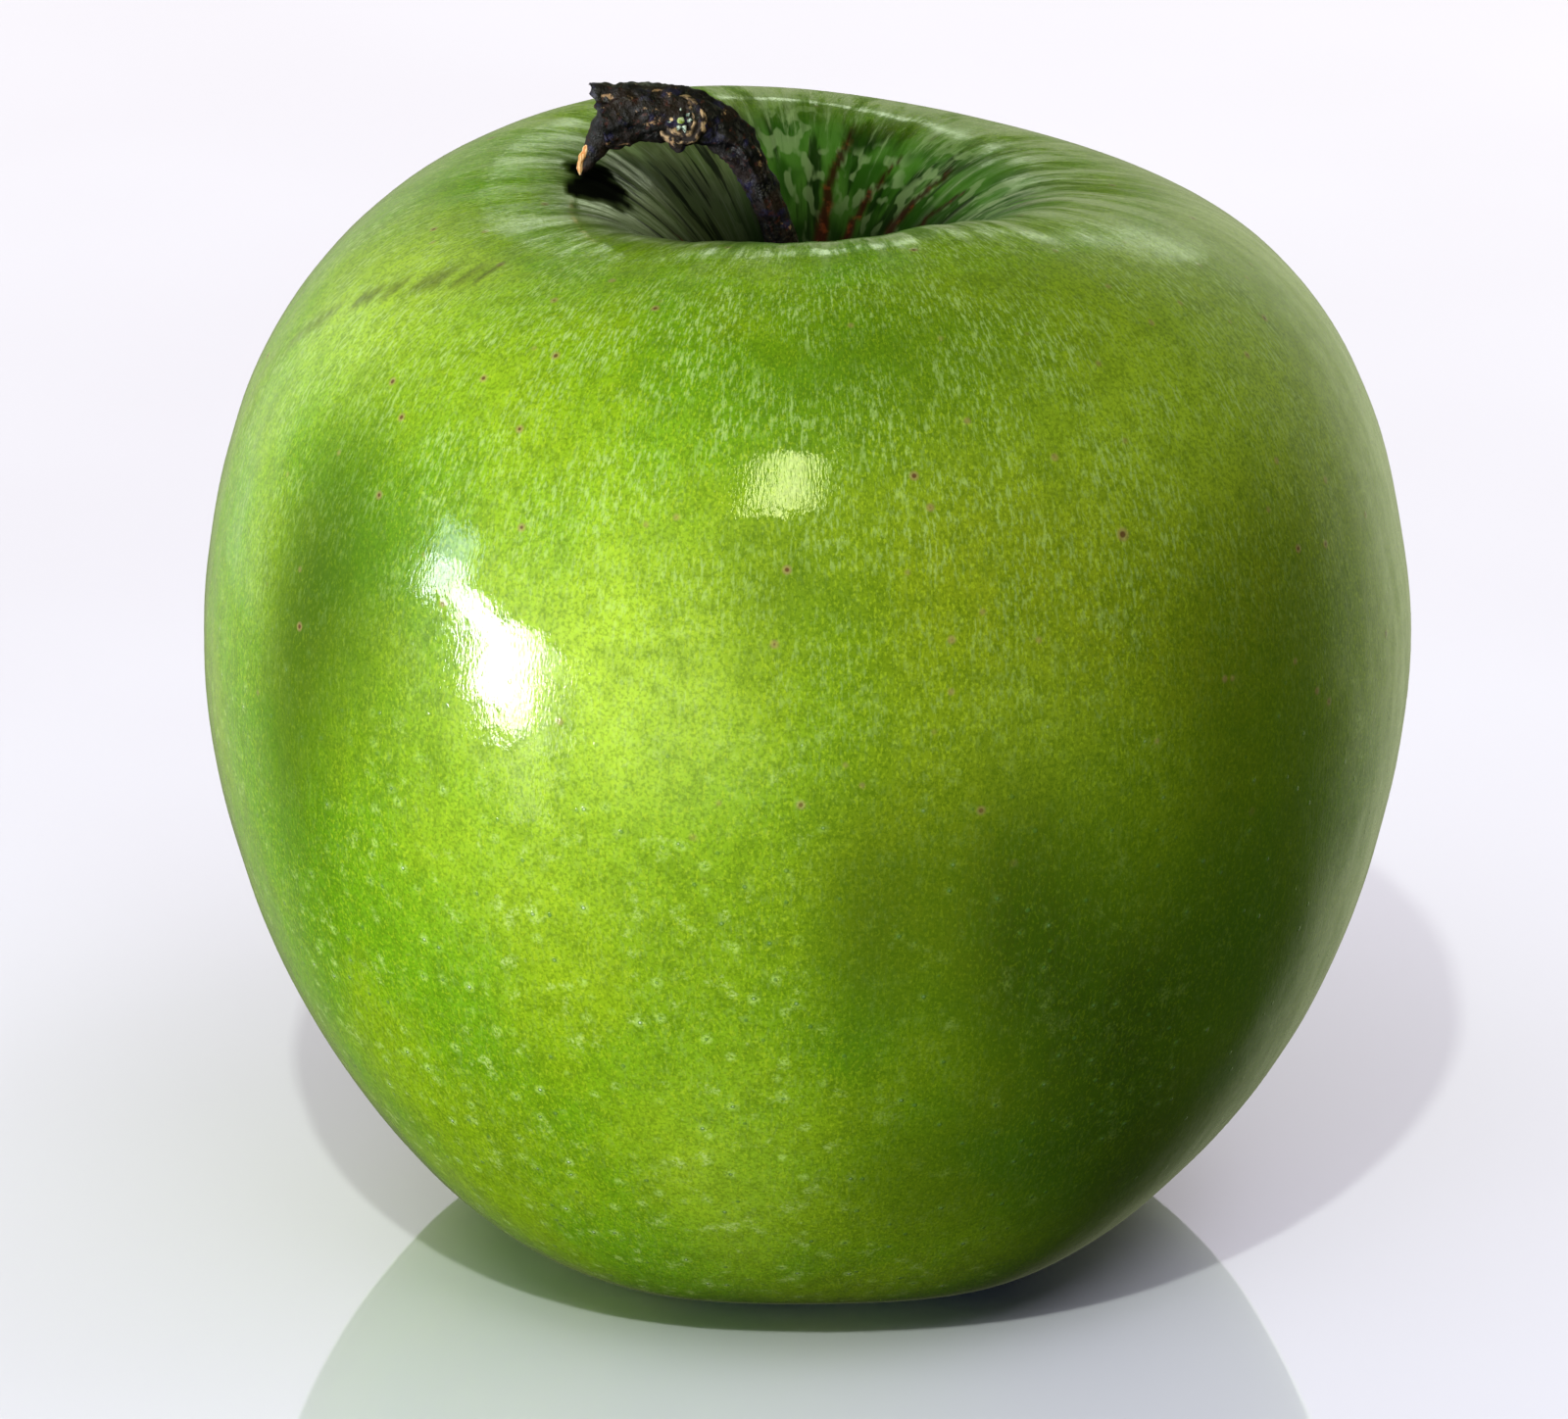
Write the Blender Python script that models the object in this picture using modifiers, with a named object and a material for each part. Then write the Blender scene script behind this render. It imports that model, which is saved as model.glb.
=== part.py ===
"""A green apple at its real size: the fruit, its stalk, and the dried flower end underneath.

Units are metres and +Z is up. The fruit stands on z = 0 with its core line on the Z axis.
Run it with: blender --background --python part.py
"""

import math

import bmesh
import bpy
from mathutils import Matrix, Vector

# The fruit. Each of these sizes can be changed by itself.
FRUIT_WIDTH = 0.080
FRUIT_HEIGHT = 0.072  # up to the crest of the shoulders, without the stalk
WIDEST_HEIGHT = 0.042  # height of the widest ring
CREST_RADIUS = 0.0175  # ring where the shoulders are highest, round the stalk cavity
CAVITY_DEPTH = 0.014  # from the crest down to the foot of the stalk
FOOT_RADIUS = 0.0165  # ring that the fruit stands on, round the calyx basin
BASIN_DEPTH = 0.009  # from the ground up to the calyx
FLAT_DEPTH = 0.0003  # how much of the ring's round is pressed flat, where the fruit rests

# How full each stretch of the outline is: the reach of its curve's two handles, as shares of the
# stretch's own width and height.
CAVITY_FULLNESS = (0.22, 0.35, 0.44)
SHOULDER_FULLNESS = (0.78, 0.32)
CHEEK_FULLNESS = (0.61, 0.35)
BASIN_FULLNESS = (0.34, 0.34)

# Growth that makes the fruit uneven.
SHOULDER_SPREAD = 0.020  # distance from the core at which the shoulders are most uneven
SHOULDER_TILT = 0.0004  # one shoulder higher than the opposite one
SHOULDER_TWIST = 0.0009  # the two diagonals, one up and one down
SHOULDER_RIDGE = 0.0005  # front and back up, both sides down
LOBES = 5  # one for each seed chamber, plainest round the calyx
LOBE_SWELL = 0.0004
LOBE_RISE = 0.0002  # how far the hollows between the lobes lift off the ground
LOBE_REACH = 0.005  # how far that lift spreads to each side of the foot ring

# The stalk.
STALK_RADIUS = 0.00115
STALK_FOOT_FLARE = 1.2  # how much wider than its neck the stalk is where it meets the fruit
STALK_CLUB_RADIUS = 0.0020  # the swollen end, where it parted from the twig
STALK_OVERHANG = 0.0139  # how far the club's end lies from the core line
STALK_RISE = 0.0045  # height of the club's middle above the crest of the shoulders
STRAND_DROP = 0.0021  # a strip of bark that hangs from the club's end
STRAND_RADIUS = 0.0007
BUD_RADIUS = 0.0010  # a dormant bud on the side of the club

# The dried flower, inside the basin.
CALYX_RADIUS = 0.0040  # the flat eye at the top of the basin
SEPALS = 5
SEPAL_RING = 0.0030
SEPAL_LENGTH = 0.0048
SEPAL_WIDTH = 0.0027
SEPAL_THICKNESS = 0.0004
SEPAL_CURL = 75  # degrees that a sepal turns outwards from root to tip
SEPAL_REACH = 0.6  # how far the curl carries the tip outwards, as a share of the length
SEPAL_DROP = 0.75  # how far it hangs down, as a share of the length
SEPAL_FOLD = 0.3  # how far its edges fold back, as a share of the width
STYLE_RADIUS = 0.0011
STYLE_LENGTH = 0.0035

GAP = 0.0003  # left between pieces that touch

TURN_STEPS = 64  # facets round the fruit
TUBE_SIDES = 3  # bevel resolution of the stalk
WELD = 0.00001

SKIN_COLOUR = (0.24, 0.42, 0.02, 1)
BARK_COLOUR = (0.035, 0.018, 0.016, 1)
DRIED_COLOUR = (0.10, 0.055, 0.025, 1)


def clear_scene():
    for thing in list(bpy.data.objects):
        bpy.data.objects.remove(thing)


def new_collection(name):
    collection = bpy.data.collections.new(name)
    bpy.context.scene.collection.children.link(collection)
    return collection


def material(name, colour, roughness):
    made = bpy.data.materials.new(name)
    made.use_nodes = True
    shader = made.node_tree.nodes["Principled BSDF"]
    shader.inputs["Base Color"].default_value = colour
    shader.inputs["Roughness"].default_value = roughness
    shader.inputs["Metallic"].default_value = 0
    return made


def add_object(name, data, collection, surface=None):
    made = bpy.data.objects.new(name, data)
    collection.objects.link(made)
    if surface:
        data.materials.clear()
        data.materials.append(surface)
    return made


def smooth_rise(share):
    """0 to 1 with level ends, as share goes from 0 to 1."""
    share = min(max(share, 0), 1)
    return share * share * (3 - 2 * share)


def arc(start, start_handle, end_handle, end, steps):
    """Points of one smooth curve from start to end, without the first."""
    points = []
    for step in range(1, steps + 1):
        along = step / steps
        left = 1 - along
        points.append(
            left**3 * start
            + 3 * left * left * along * start_handle
            + 3 * left * along * along * end_handle
            + along**3 * end
        )
    return points


def fruit_outline():
    """Half of the fruit's section as (radius, height), from the stalk's foot round to the calyx."""
    cavity_floor = FRUIT_HEIGHT - CAVITY_DEPTH
    seat = Vector((STALK_FOOT_FLARE * STALK_RADIUS + GAP, cavity_floor))
    crest = Vector((CREST_RADIUS, FRUIT_HEIGHT))
    cheek = Vector((FRUIT_WIDTH / 2, WIDEST_HEIGHT))
    foot = Vector((FOOT_RADIUS, -FLAT_DEPTH))
    eye = Vector((CALYX_RADIUS, BASIN_DEPTH))

    cavity = crest - seat
    steep = Vector((CAVITY_FULLNESS[0] * cavity.x, CAVITY_FULLNESS[1] * cavity.y))
    level = Vector((CAVITY_FULLNESS[2] * cavity.x, 0))
    shoulder = cheek - crest
    shoulder_out = Vector((SHOULDER_FULLNESS[0] * shoulder.x, 0))
    shoulder_up = Vector((0, -SHOULDER_FULLNESS[1] * shoulder.y))
    side = cheek - foot
    side_down = Vector((0, -CHEEK_FULLNESS[0] * side.y))
    side_out = Vector((CHEEK_FULLNESS[1] * side.x, 0))
    basin = foot - eye
    basin_in = Vector((-BASIN_FULLNESS[0] * basin.x, 0))
    basin_out = Vector((BASIN_FULLNESS[1] * basin.x, 0))

    outline = [Vector((0, cavity_floor)), seat]
    outline += arc(seat, seat + steep, crest - level, crest, 10)
    outline += arc(crest, crest + shoulder_out, cheek + shoulder_up, cheek, 13)
    outline += arc(cheek, cheek + side_down, foot + side_out, foot, 15)
    outline += arc(foot, foot + basin_in, eye + basin_out, eye, 9)
    outline.append(Vector((0, BASIN_DEPTH)))
    return outline


def shoulder_lift(point):
    """How far growth raises or lowers a point of the upper half."""
    above = (point.z - WIDEST_HEIGHT) / (FRUIT_HEIGHT - WIDEST_HEIGHT)
    angle = math.atan2(point.y, point.x)
    spread = (math.hypot(point.x, point.y) / SHOULDER_SPREAD) ** 2
    waves = (
        SHOULDER_TILT * math.cos(angle)
        + SHOULDER_TWIST * math.sin(2 * angle)
        + SHOULDER_RIDGE * math.cos(2 * angle)
    )
    return -smooth_rise(above) * spread * math.exp(1 - spread) * waves


def lobed(point):
    """The point moved by the five lobes of the lower half, then pressed flat on the ground."""
    radius = math.hypot(point.x, point.y)
    wave = math.sin(LOBES * math.atan2(point.y, point.x))
    low = smooth_rise(1 - point.z / WIDEST_HEIGHT) * min(radius / FOOT_RADIUS, 1)
    swell = 1 + low * LOBE_SWELL * wave / max(radius, CALYX_RADIUS)
    near_foot = math.exp(-(((radius - FOOT_RADIUS) / LOBE_REACH) ** 2)) * low
    height = point.z + LOBE_RISE * near_foot * (1 - wave) / 2
    return Vector((point.x * swell, point.y * swell, max(height, 0)))


def turned_mesh(name, outline, steps, collection):
    """A closed mesh turned about Z from an outline of (radius, height) points."""
    profile = bpy.data.meshes.new(name + "_outline")
    ends = [(i, i + 1) for i in range(len(outline) - 1)]
    profile.from_pydata([(p.x, 0, p.y) for p in outline], ends, [])
    turned = add_object(name + "_outline", profile, collection)
    screw = turned.modifiers.new("turn", "SCREW")
    screw.steps = steps
    screw.render_steps = steps
    screw.use_merge_vertices = True
    screw.merge_threshold = WELD
    mesh = evaluated_mesh(turned)
    mesh.name = name
    return mesh


def evaluated_mesh(thing):
    """The object's shape with its modifiers, welded; the object itself is removed."""
    graph = bpy.context.evaluated_depsgraph_get()
    mesh = bpy.data.meshes.new_from_object(thing.evaluated_get(graph))
    bpy.data.objects.remove(thing)
    welded = bmesh.new()
    welded.from_mesh(mesh)
    bmesh.ops.remove_doubles(welded, verts=welded.verts, dist=WELD)
    welded.to_mesh(mesh)
    welded.free()
    return mesh


def make_fruit(parts, guides):
    """Skin and flesh, grown as one piece, with the stalk cavity on top and the basin below."""
    mesh = turned_mesh("fruit", fruit_outline(), TURN_STEPS, guides)
    for vertex in mesh.vertices:
        if vertex.co.z > WIDEST_HEIGHT:
            vertex.co.z += shoulder_lift(vertex.co)
        else:
            vertex.co = lobed(vertex.co)
    mesh.shade_smooth()
    return add_object("fruit", mesh, parts, material("waxy_skin", SKIN_COLOUR, 0.3))


def through(route, steps):
    """A smooth run of (x, y, z, radius) points through the route's own points."""
    run = []
    ends = [route[0]] + list(route) + [route[-1]]
    for before, start, end, after in zip(ends, ends[1:], ends[2:], ends[3:]):
        for step in range(steps):
            t = step / steps
            point = (
                2 * start
                + (end - before) * t
                + (2 * before - 5 * start + 4 * end - after) * t * t
                + (3 * start - before - 3 * end + after) * t**3
            ) / 2
            run.append(point)
    run.append(route[-1])
    return run


def tube_mesh(name, route, steps, collection):
    """A closed tube along the route, whose fourth value is the tube's radius there."""
    curve = bpy.data.curves.new(name, "CURVE")
    curve.dimensions = "3D"
    curve.bevel_depth = 1
    curve.bevel_resolution = TUBE_SIDES
    curve.use_fill_caps = True
    run = through(route, steps)
    spline = curve.splines.new("POLY")
    spline.points.add(len(run) - 1)
    for point, place in zip(spline.points, run):
        point.co = (place[0], place[1], place[2], 1)
        point.radius = place[3]
    return evaluated_mesh(add_object(name, curve, collection))


def stalk_route():
    """The stalk's middle line: up out of the cavity, then over to one side."""
    seat = FRUIT_HEIGHT - CAVITY_DEPTH + GAP
    rim = FRUIT_HEIGHT
    top = FRUIT_HEIGHT + STALK_RISE
    reach = STALK_OVERHANG
    neck = STALK_RADIUS
    club = STALK_CLUB_RADIUS
    return [
        Vector((0, 0, seat, STALK_FOOT_FLARE * neck)),
        Vector((-0.04 * reach, 0, (seat * 2 + rim) / 3, neck)),
        Vector((-0.11 * reach, 0, (seat + rim * 2) / 3, neck)),
        Vector((-0.20 * reach, 0, rim - 0.0010, neck)),
        Vector((-0.34 * reach, 0, rim + 0.50 * STALK_RISE, neck * 1.1)),
        Vector((-0.54 * reach, 0, top - 0.0004, neck * 1.45)),
        Vector((-0.78 * reach, 0, top + 0.0001, club)),
        Vector((-1.00 * reach, 0, top - 0.0003, club * 1.05)),
    ]


def strand_route():
    """A strip of torn bark, from inside the club's end down past its lower edge."""
    end = -STALK_OVERHANG
    top = FRUIT_HEIGHT + STALK_RISE
    lowest = top - STALK_CLUB_RADIUS - STRAND_DROP
    return [
        Vector((end + 0.0012, 0, top - 0.0006, STRAND_RADIUS)),
        Vector((end + 0.0001, 0, top - STALK_CLUB_RADIUS, STRAND_RADIUS)),
        Vector((end - 0.0005, 0, lowest + 0.4 * STRAND_DROP, STRAND_RADIUS * 0.75)),
        Vector((end - 0.0007, 0, lowest, STRAND_RADIUS * 0.45)),
    ]


def join_to(solid, piece):
    union = solid.modifiers.new("join_" + piece.name, "BOOLEAN")
    union.operation = "UNION"
    union.solver = "EXACT"
    union.object = piece


def make_guide(name, mesh, guides):
    guide = add_object(name, mesh, guides)
    guide.hide_render = True
    guide.display_type = "WIRE"
    return guide


def bud_mesh(place):
    mesh = bpy.data.meshes.new("bud")
    ball = bmesh.new()
    bmesh.ops.create_icosphere(ball, subdivisions=2, radius=BUD_RADIUS, matrix=Matrix.Translation(place))
    ball.to_mesh(mesh)
    ball.free()
    return mesh


def make_stalk(parts, guides):
    """The woody stalk with its club, its dormant bud and its torn strip of bark, grown as one."""
    bark = material("bark", BARK_COLOUR, 0.8)
    stalk = add_object("stalk", tube_mesh("stalk", stalk_route(), 3, guides), parts, bark)
    strand = make_guide("strand", tube_mesh("strand", strand_route(), 2, guides), guides)
    club_middle = stalk_route()[5]
    bud_place = Vector((club_middle.x, -club_middle.w, club_middle.z - 0.0003))
    bud = make_guide("bud", bud_mesh(bud_place), guides)
    join_to(stalk, strand)
    join_to(stalk, bud)


def sepal_mesh(name):
    """A dried sepal hanging from its root at the origin, curling outwards along +X."""
    leaf = bmesh.new()
    bmesh.ops.create_grid(leaf, x_segments=2, y_segments=5, size=0.5)
    for vertex in leaf.verts:
        across = vertex.co.x
        along = vertex.co.y + 0.5
        width = SEPAL_WIDTH * (1 - along**2) + SEPAL_THICKNESS
        curl = math.radians(SEPAL_CURL) * along
        outwards = SEPAL_REACH * SEPAL_LENGTH * (1 - math.cos(curl))
        folded = SEPAL_FOLD * width * abs(across)
        hang = SEPAL_DROP * SEPAL_LENGTH * math.sin(curl)
        vertex.co = Vector((outwards - folded, across * width, -hang))
    bmesh.ops.recalc_face_normals(leaf, faces=leaf.faces)
    mesh = bpy.data.meshes.new(name)
    leaf.to_mesh(mesh)
    leaf.free()
    return mesh


def make_sepals(parts):
    dried = material("dried_sepal", DRIED_COLOUR, 0.9)
    calyx = bpy.data.objects.new("calyx", None)
    calyx.location = (0, 0, BASIN_DEPTH - GAP)
    parts.objects.link(calyx)
    for number in range(SEPALS):
        turn = 2 * math.pi * number / SEPALS
        name = f"calyx_sepal_{number + 1}"
        sepal = add_object(name, sepal_mesh(name), parts, dried)
        sepal.parent = calyx
        sepal.location = (SEPAL_RING * math.cos(turn), SEPAL_RING * math.sin(turn), 0)
        sepal.rotation_euler = (0, 0, turn)
        wall = sepal.modifiers.new("thickness", "SOLIDIFY")
        wall.thickness = SEPAL_THICKNESS
        wall.offset = 0
        soft = sepal.modifiers.new("soften", "SUBSURF")
        soft.levels = 1
        soft.render_levels = 1


def make_style(parts, guides):
    """The withered styles, dried together into one small tuft at the middle of the calyx."""
    root = BASIN_DEPTH - GAP
    tip = root - STYLE_LENGTH
    outline = [
        Vector((0, root)),
        Vector((STYLE_RADIUS, root)),
        Vector((0.7 * STYLE_RADIUS, root - 0.4 * STYLE_LENGTH)),
        Vector((0.9 * STYLE_RADIUS, root - 0.8 * STYLE_LENGTH)),
        Vector((0.5 * STYLE_RADIUS, tip)),
        Vector((0, tip)),
    ]
    mesh = turned_mesh("withered_styles", outline, 12, guides)
    add_object("withered_styles", mesh, parts, material("dried_style", DRIED_COLOUR, 0.9))


def main():
    clear_scene()
    parts = new_collection("apple")
    guides = new_collection("guides")
    make_fruit(parts, guides)
    make_stalk(parts, guides)
    make_sepals(parts)
    make_style(parts, guides)


main()
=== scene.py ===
import math

import bmesh
import bpy
from mathutils import Matrix, Vector, noise


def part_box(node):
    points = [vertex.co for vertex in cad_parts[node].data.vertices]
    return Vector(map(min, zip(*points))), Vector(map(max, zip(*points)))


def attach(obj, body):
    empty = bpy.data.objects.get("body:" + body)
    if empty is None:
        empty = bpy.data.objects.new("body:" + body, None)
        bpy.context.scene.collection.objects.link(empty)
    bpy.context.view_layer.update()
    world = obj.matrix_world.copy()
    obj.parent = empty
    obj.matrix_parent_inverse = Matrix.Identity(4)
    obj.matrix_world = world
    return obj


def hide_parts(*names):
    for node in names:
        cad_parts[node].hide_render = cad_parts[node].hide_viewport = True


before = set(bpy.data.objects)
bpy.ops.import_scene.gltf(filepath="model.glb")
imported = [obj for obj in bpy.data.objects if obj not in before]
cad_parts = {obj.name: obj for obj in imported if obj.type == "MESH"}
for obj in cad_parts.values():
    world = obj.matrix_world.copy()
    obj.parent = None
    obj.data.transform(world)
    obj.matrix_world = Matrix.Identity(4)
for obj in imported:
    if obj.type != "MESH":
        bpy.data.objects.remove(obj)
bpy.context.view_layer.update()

# Sizes are in metres and angles in degrees. An azimuth of 0 is the front, and 90 the right.
MM = 0.001
FRUIT_LOW, FRUIT_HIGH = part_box("fruit")

# The fruit's outline, as in the frame.
BELT_RADIUS = (FRUIT_HIGH.x - FRUIT_LOW.x) / 2
CREST_HEIGHT = FRUIT_HIGH.z - 1.21 * MM  # the highest shoulder stands this much over the crest
BELT_HEIGHT = 42 * MM
CREST_RADIUS = 17.5 * MM
CAVITY_FLOOR = CREST_HEIGHT - 14 * MM
FOOT_RADIUS = 16.5 * MM
FLAT_DEPTH = 0.3 * MM
BASIN_DEPTH = 9 * MM
EYE_RADIUS = 4 * MM

# Faces round each turned or drawn shape.
FRUIT_SIDES = 360
STALK_SIDES = 72
STRIP_SIDES = 24
THREAD_SIDES = 8
RING_SIDES = 48

STALK_SUNK = 1.2 * MM  # how far the stalk reaches below the floor of the cavity
SEPALS = 5
STYLES = 5
STAMENS = 12

CAMERA_DISTANCE = 500 * MM
CAMERA_ELEVATION = 19.8
CAMERA_AIM = (-1.53 * MM, 0, 35.2 * MM)
CAMERA_LENS = 171.9  # mm, on a film 36 mm wide
LIGHT_DISTANCE = 1.2
LIGHT_AIM = (0, 0, 40 * MM)
TABLE_RADIUS = 4.0

# Patches of skin painted darker, more olive or yellower: azimuth, height in mm, how far they reach
# to each side in degrees and in mm, and how strong they are. Many of the dark ones, on the front,
# the lower right and the left front, are painted shade as well as darker skin.
DARK_AND_SHADE_PATCHES = (
    (-45, 51, 8, 11, 0.36),
    (-55, 52, 8, 12, 0.66),
    (-56, 38, 7, 11, 0.35),
    (-34, 17, 10, 7, 0.2),
    (-3, 57, 8, 6, 0.38),
    (5, 34, 6, 11, 0.6),
    (18, 35, 9, 12, 0.7),
    (31, 26, 12, 13, 0.8),
    (50, 30, 13, 13, 0.65),
    (52, 50, 10, 12, 0.4),
    (41, 46, 7, 14, 0.22),
    (34, 49, 10, 9, 0.2),
    (13, 15, 12, 8, 0.5),
    (40, 12, 17, 9, 0.6),
    (8, 68, 26, 4, 0.4),
    (-92, 36, 12, 15, 0.5),
    (112, 30, 12, 16, 0.6),
    (160, 40, 9, 16, 0.5),
    (-150, 28, 10, 14, 0.6),
    (-118, 50, 8, 10, 0.4),
)
OLIVE_PATCHES = (
    (14, 58, 16, 9, 0.7),
    (38, 53, 22, 14, 0.95),
    (-12, 33, 12, 9, 0.4),
    (8, 43, 14, 9, 0.4),
    (20, 34, 13, 10, 0.45),
    (66, 60, 22, 12, 0.7),
    (135, 52, 20, 14, 0.6),
    (-165, 58, 24, 10, 0.5),
)
# Yellower skin and painted light: the patch beside the window's highlight is its painted glow, and
# those low on the front and over the upper shoulders are painted brighter where the light falls.
YELLOW_AND_LIT_PATCHES = (
    (-19, 50, 14, 11, 1.0),
    (-30, 36, 12, 8, 0.35),
    (-9, 16, 9, 10, 0.6),
    (-66, 67, 14, 6, 0.9),
    (-46, 67, 14, 6, 0.5),
    (20, 47, 10, 6, 0.3),
    (48, 64, 22, 7, 0.85),
    (100, 58, 14, 10, 0.4),
    (-130, 60, 16, 8, 0.5),
    (178, 24, 12, 10, 0.4),
)
# Corky streaks in the cavity: azimuth outside and inside, radius outside and inside in mm, half
# width in mm.
RUSSET_STREAKS = (
    (167, 173, 14.5, 6.5, 0.42),
    (150, 159, 13.2, 7.0, 0.28),
    (131, 137, 13.2, 8.0, 0.36),
    (117, 122, 12.0, 8.5, 0.22),
    (-96, -110, 9.0, 4.0, 0.2),
    (60, 75, 9.5, 4.0, 0.25),
)
# Painted shadow of the stalk's broken end on the cavity's left wall, in spots: x, y and reach in
# mm.
STALK_SHADOW_SPOTS = ((-14.2, 2.4, 1.9), (-13.4, 0.6, 2.2), (-14.6, -0.4, 1.6))
# The largest of the old breathing dots, on the front right shoulder.
OLDEST_DOT = (19.4 * MM, -31.1 * MM, 57.9 * MM)
# A rubbed line over the left shoulder, where a twig lay: azimuth and height in mm.
RUBBED_LINE = ((-80, 62.4), (-74, 66.0), (-68, 68.0), (-62, 69.4), (-54, 70.5))


# ---------------------------------------------------------------- small helpers


def linear(code):
    """An sRGB hex colour as the linear values that shaders take."""
    values = [int(code[i : i + 2], 16) / 255 for i in (1, 3, 5)]
    return [v / 12.92 if v < 0.04045 else ((v + 0.055) / 1.055) ** 2.4 for v in values] + [1]


def smooth(value, low, high):
    """0 to 1 with level ends, as the value goes from low to high."""
    share = min(max((value - low) / (high - low), 0), 1)
    return share * share * (3 - 2 * share)


def toward(azimuth, elevation):
    """The direction that lies at this azimuth and elevation."""
    around, up = math.radians(azimuth), math.radians(elevation)
    return Vector(
        (math.sin(around) * math.cos(up), -math.cos(around) * math.cos(up), math.sin(up))
    )


def through(points, steps):
    """A smooth run of points through the given ones, with steps points for each stretch."""
    ends = [2 * points[0] - points[1]] + points + [2 * points[-1] - points[-2]]
    run = []
    for a, b, c, d in zip(ends, ends[1:], ends[2:], ends[3:]):
        for step in range(steps):
            t = step / steps
            run.append(
                0.5
                * (2 * b + (c - a) * t + (2 * a - 5 * b + 4 * c - d) * t**2
                   + (3 * b - a - 3 * c + d) * t**3)
            )
    return run + [points[-1]]


def add(tree, kind, inputs=None, **settings):
    """Adds a node. inputs maps a socket to a value or to the output that feeds it."""
    made = tree.nodes.new("ShaderNode" + kind)
    for name, value in settings.items():
        setattr(made, name, value)
    for socket, value in (inputs or {}).items():
        if isinstance(value, bpy.types.NodeSocket):
            tree.links.new(value, made.inputs[socket])
        else:
            made.inputs[socket].default_value = value
    return made


def new_material(name, **settings):
    """A material and its shader, with settings that are the same all over the surface."""
    made = bpy.data.materials.new(name)
    made.use_nodes = True
    shader = made.node_tree.nodes["Principled BSDF"]
    for socket, value in settings.items():
        shader.inputs[socket.replace("_", " ")].default_value = value
    return made, made.node_tree, shader


def stretched(tree, source, *size):
    """The place scaled so that one unit is size mm on each axis."""
    scale = tuple(1 / (side * MM) for side in size)
    return add(tree, "VectorMath", {0: source, 1: scale}, operation="MULTIPLY").outputs[0]


def patchy(tree, source, size, detail=2.0, roughness=0.5):
    """Uneven patches about size mm wide. size is one number or three."""
    size = size if isinstance(size, tuple) else (size, size, size)
    found = add(
        tree,
        "TexNoise",
        {
            "Vector": stretched(tree, source, *size),
            "Scale": 1.0,
            "Detail": detail,
            "Roughness": roughness,
        },
    )
    return found.outputs["Fac"]


def between(tree, value, low, high, out_low=0.0, out_high=1.0):
    """Goes smoothly from out_low to out_high as the value goes from low to high."""
    step = add(
        tree,
        "MapRange",
        {"Value": value, "From Min": low, "From Max": high, "To Min": out_low, "To Max": out_high},
        interpolation_type="SMOOTHSTEP",
    )
    return step.outputs["Result"]


def sums(tree, operation, *values):
    """The values joined from left to right by one kind of sum."""
    result = values[0]
    for value in values[1:]:
        result = add(tree, "Math", {0: result, 1: value}, operation=operation).outputs[0]
    return result


def painted(tree, under, over, amount):
    """The colour under, covered by the colour over as far as amount says."""
    return add(tree, "Mix", {0: amount, 6: under, 7: over}, data_type="RGBA").outputs[2]


def tinted(tree, under, code, *amounts):
    """The colour under, covered by this hex colour as far as all the amounts together say."""
    return painted(tree, under, linear(code), sums(tree, "MULTIPLY", *amounts))


def scattered(tree, place, size):
    """Spots about size mm apart: the distance to the nearest one, and its own number, 0 to 1."""
    spots = add(
        tree, "TexVoronoi", {"Vector": stretched(tree, place, size, size, size), "Scale": 1.0}
    )
    chance = add(tree, "SeparateColor", {0: spots.outputs["Color"]}).outputs[0]
    return sums(tree, "MULTIPLY", spots.outputs["Distance"], size * MM), chance


def bumped(tree, height, depth, under=None):
    """The normal of a surface whose height goes through depth mm."""
    inputs = {"Height": height, "Distance": depth * MM}
    if under:
        inputs["Normal"] = under
    return add(tree, "Bump", inputs).outputs["Normal"]


def spin_closed(shape, steps):
    """Turns the outline in the shape once round the Z axis, into a closed skin."""
    bmesh.ops.spin(
        shape,
        geom=list(shape.verts) + list(shape.edges),
        cent=(0, 0, 0),
        axis=(0, 0, 1),
        angle=2 * math.pi,
        steps=steps,
        use_merge=True,
    )
    bmesh.ops.remove_doubles(shape, verts=shape.verts, dist=0.001 * MM)
    bmesh.ops.recalc_face_normals(shape, faces=shape.faces)


def new_mesh(name, shape, surface):
    """The mesh of a finished bmesh, with its surface."""
    mesh = bpy.data.meshes.new(name)
    shape.to_mesh(mesh)
    shape.free()
    mesh.materials.append(surface)
    return mesh


def new_object(name, data):
    """An object of this mesh, light or camera, in the scene."""
    made = bpy.data.objects.new(name, data)
    bpy.context.scene.collection.objects.link(made)
    return made


def new_piece(name, shape, surface, slot, *stands_for):
    """Makes an object of a finished bmesh, which rides on the frame's only body."""
    piece = new_object(name, new_mesh(name, shape, surface))
    piece.data.shade_smooth()
    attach(piece, "root")
    if stands_for:
        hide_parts(*stands_for)
    return piece


# ---------------------------------------------------------------- fruit


def arc(start, start_handle, end_handle, end, steps):
    """Points of one smooth curve from start to end, without the first."""
    points = []
    for step in range(1, steps + 1):
        t = step / steps
        u = 1 - t
        points.append(
            u**3 * start + 3 * u * u * t * start_handle + 3 * u * t * t * end_handle + t**3 * end
        )
    return points


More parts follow.
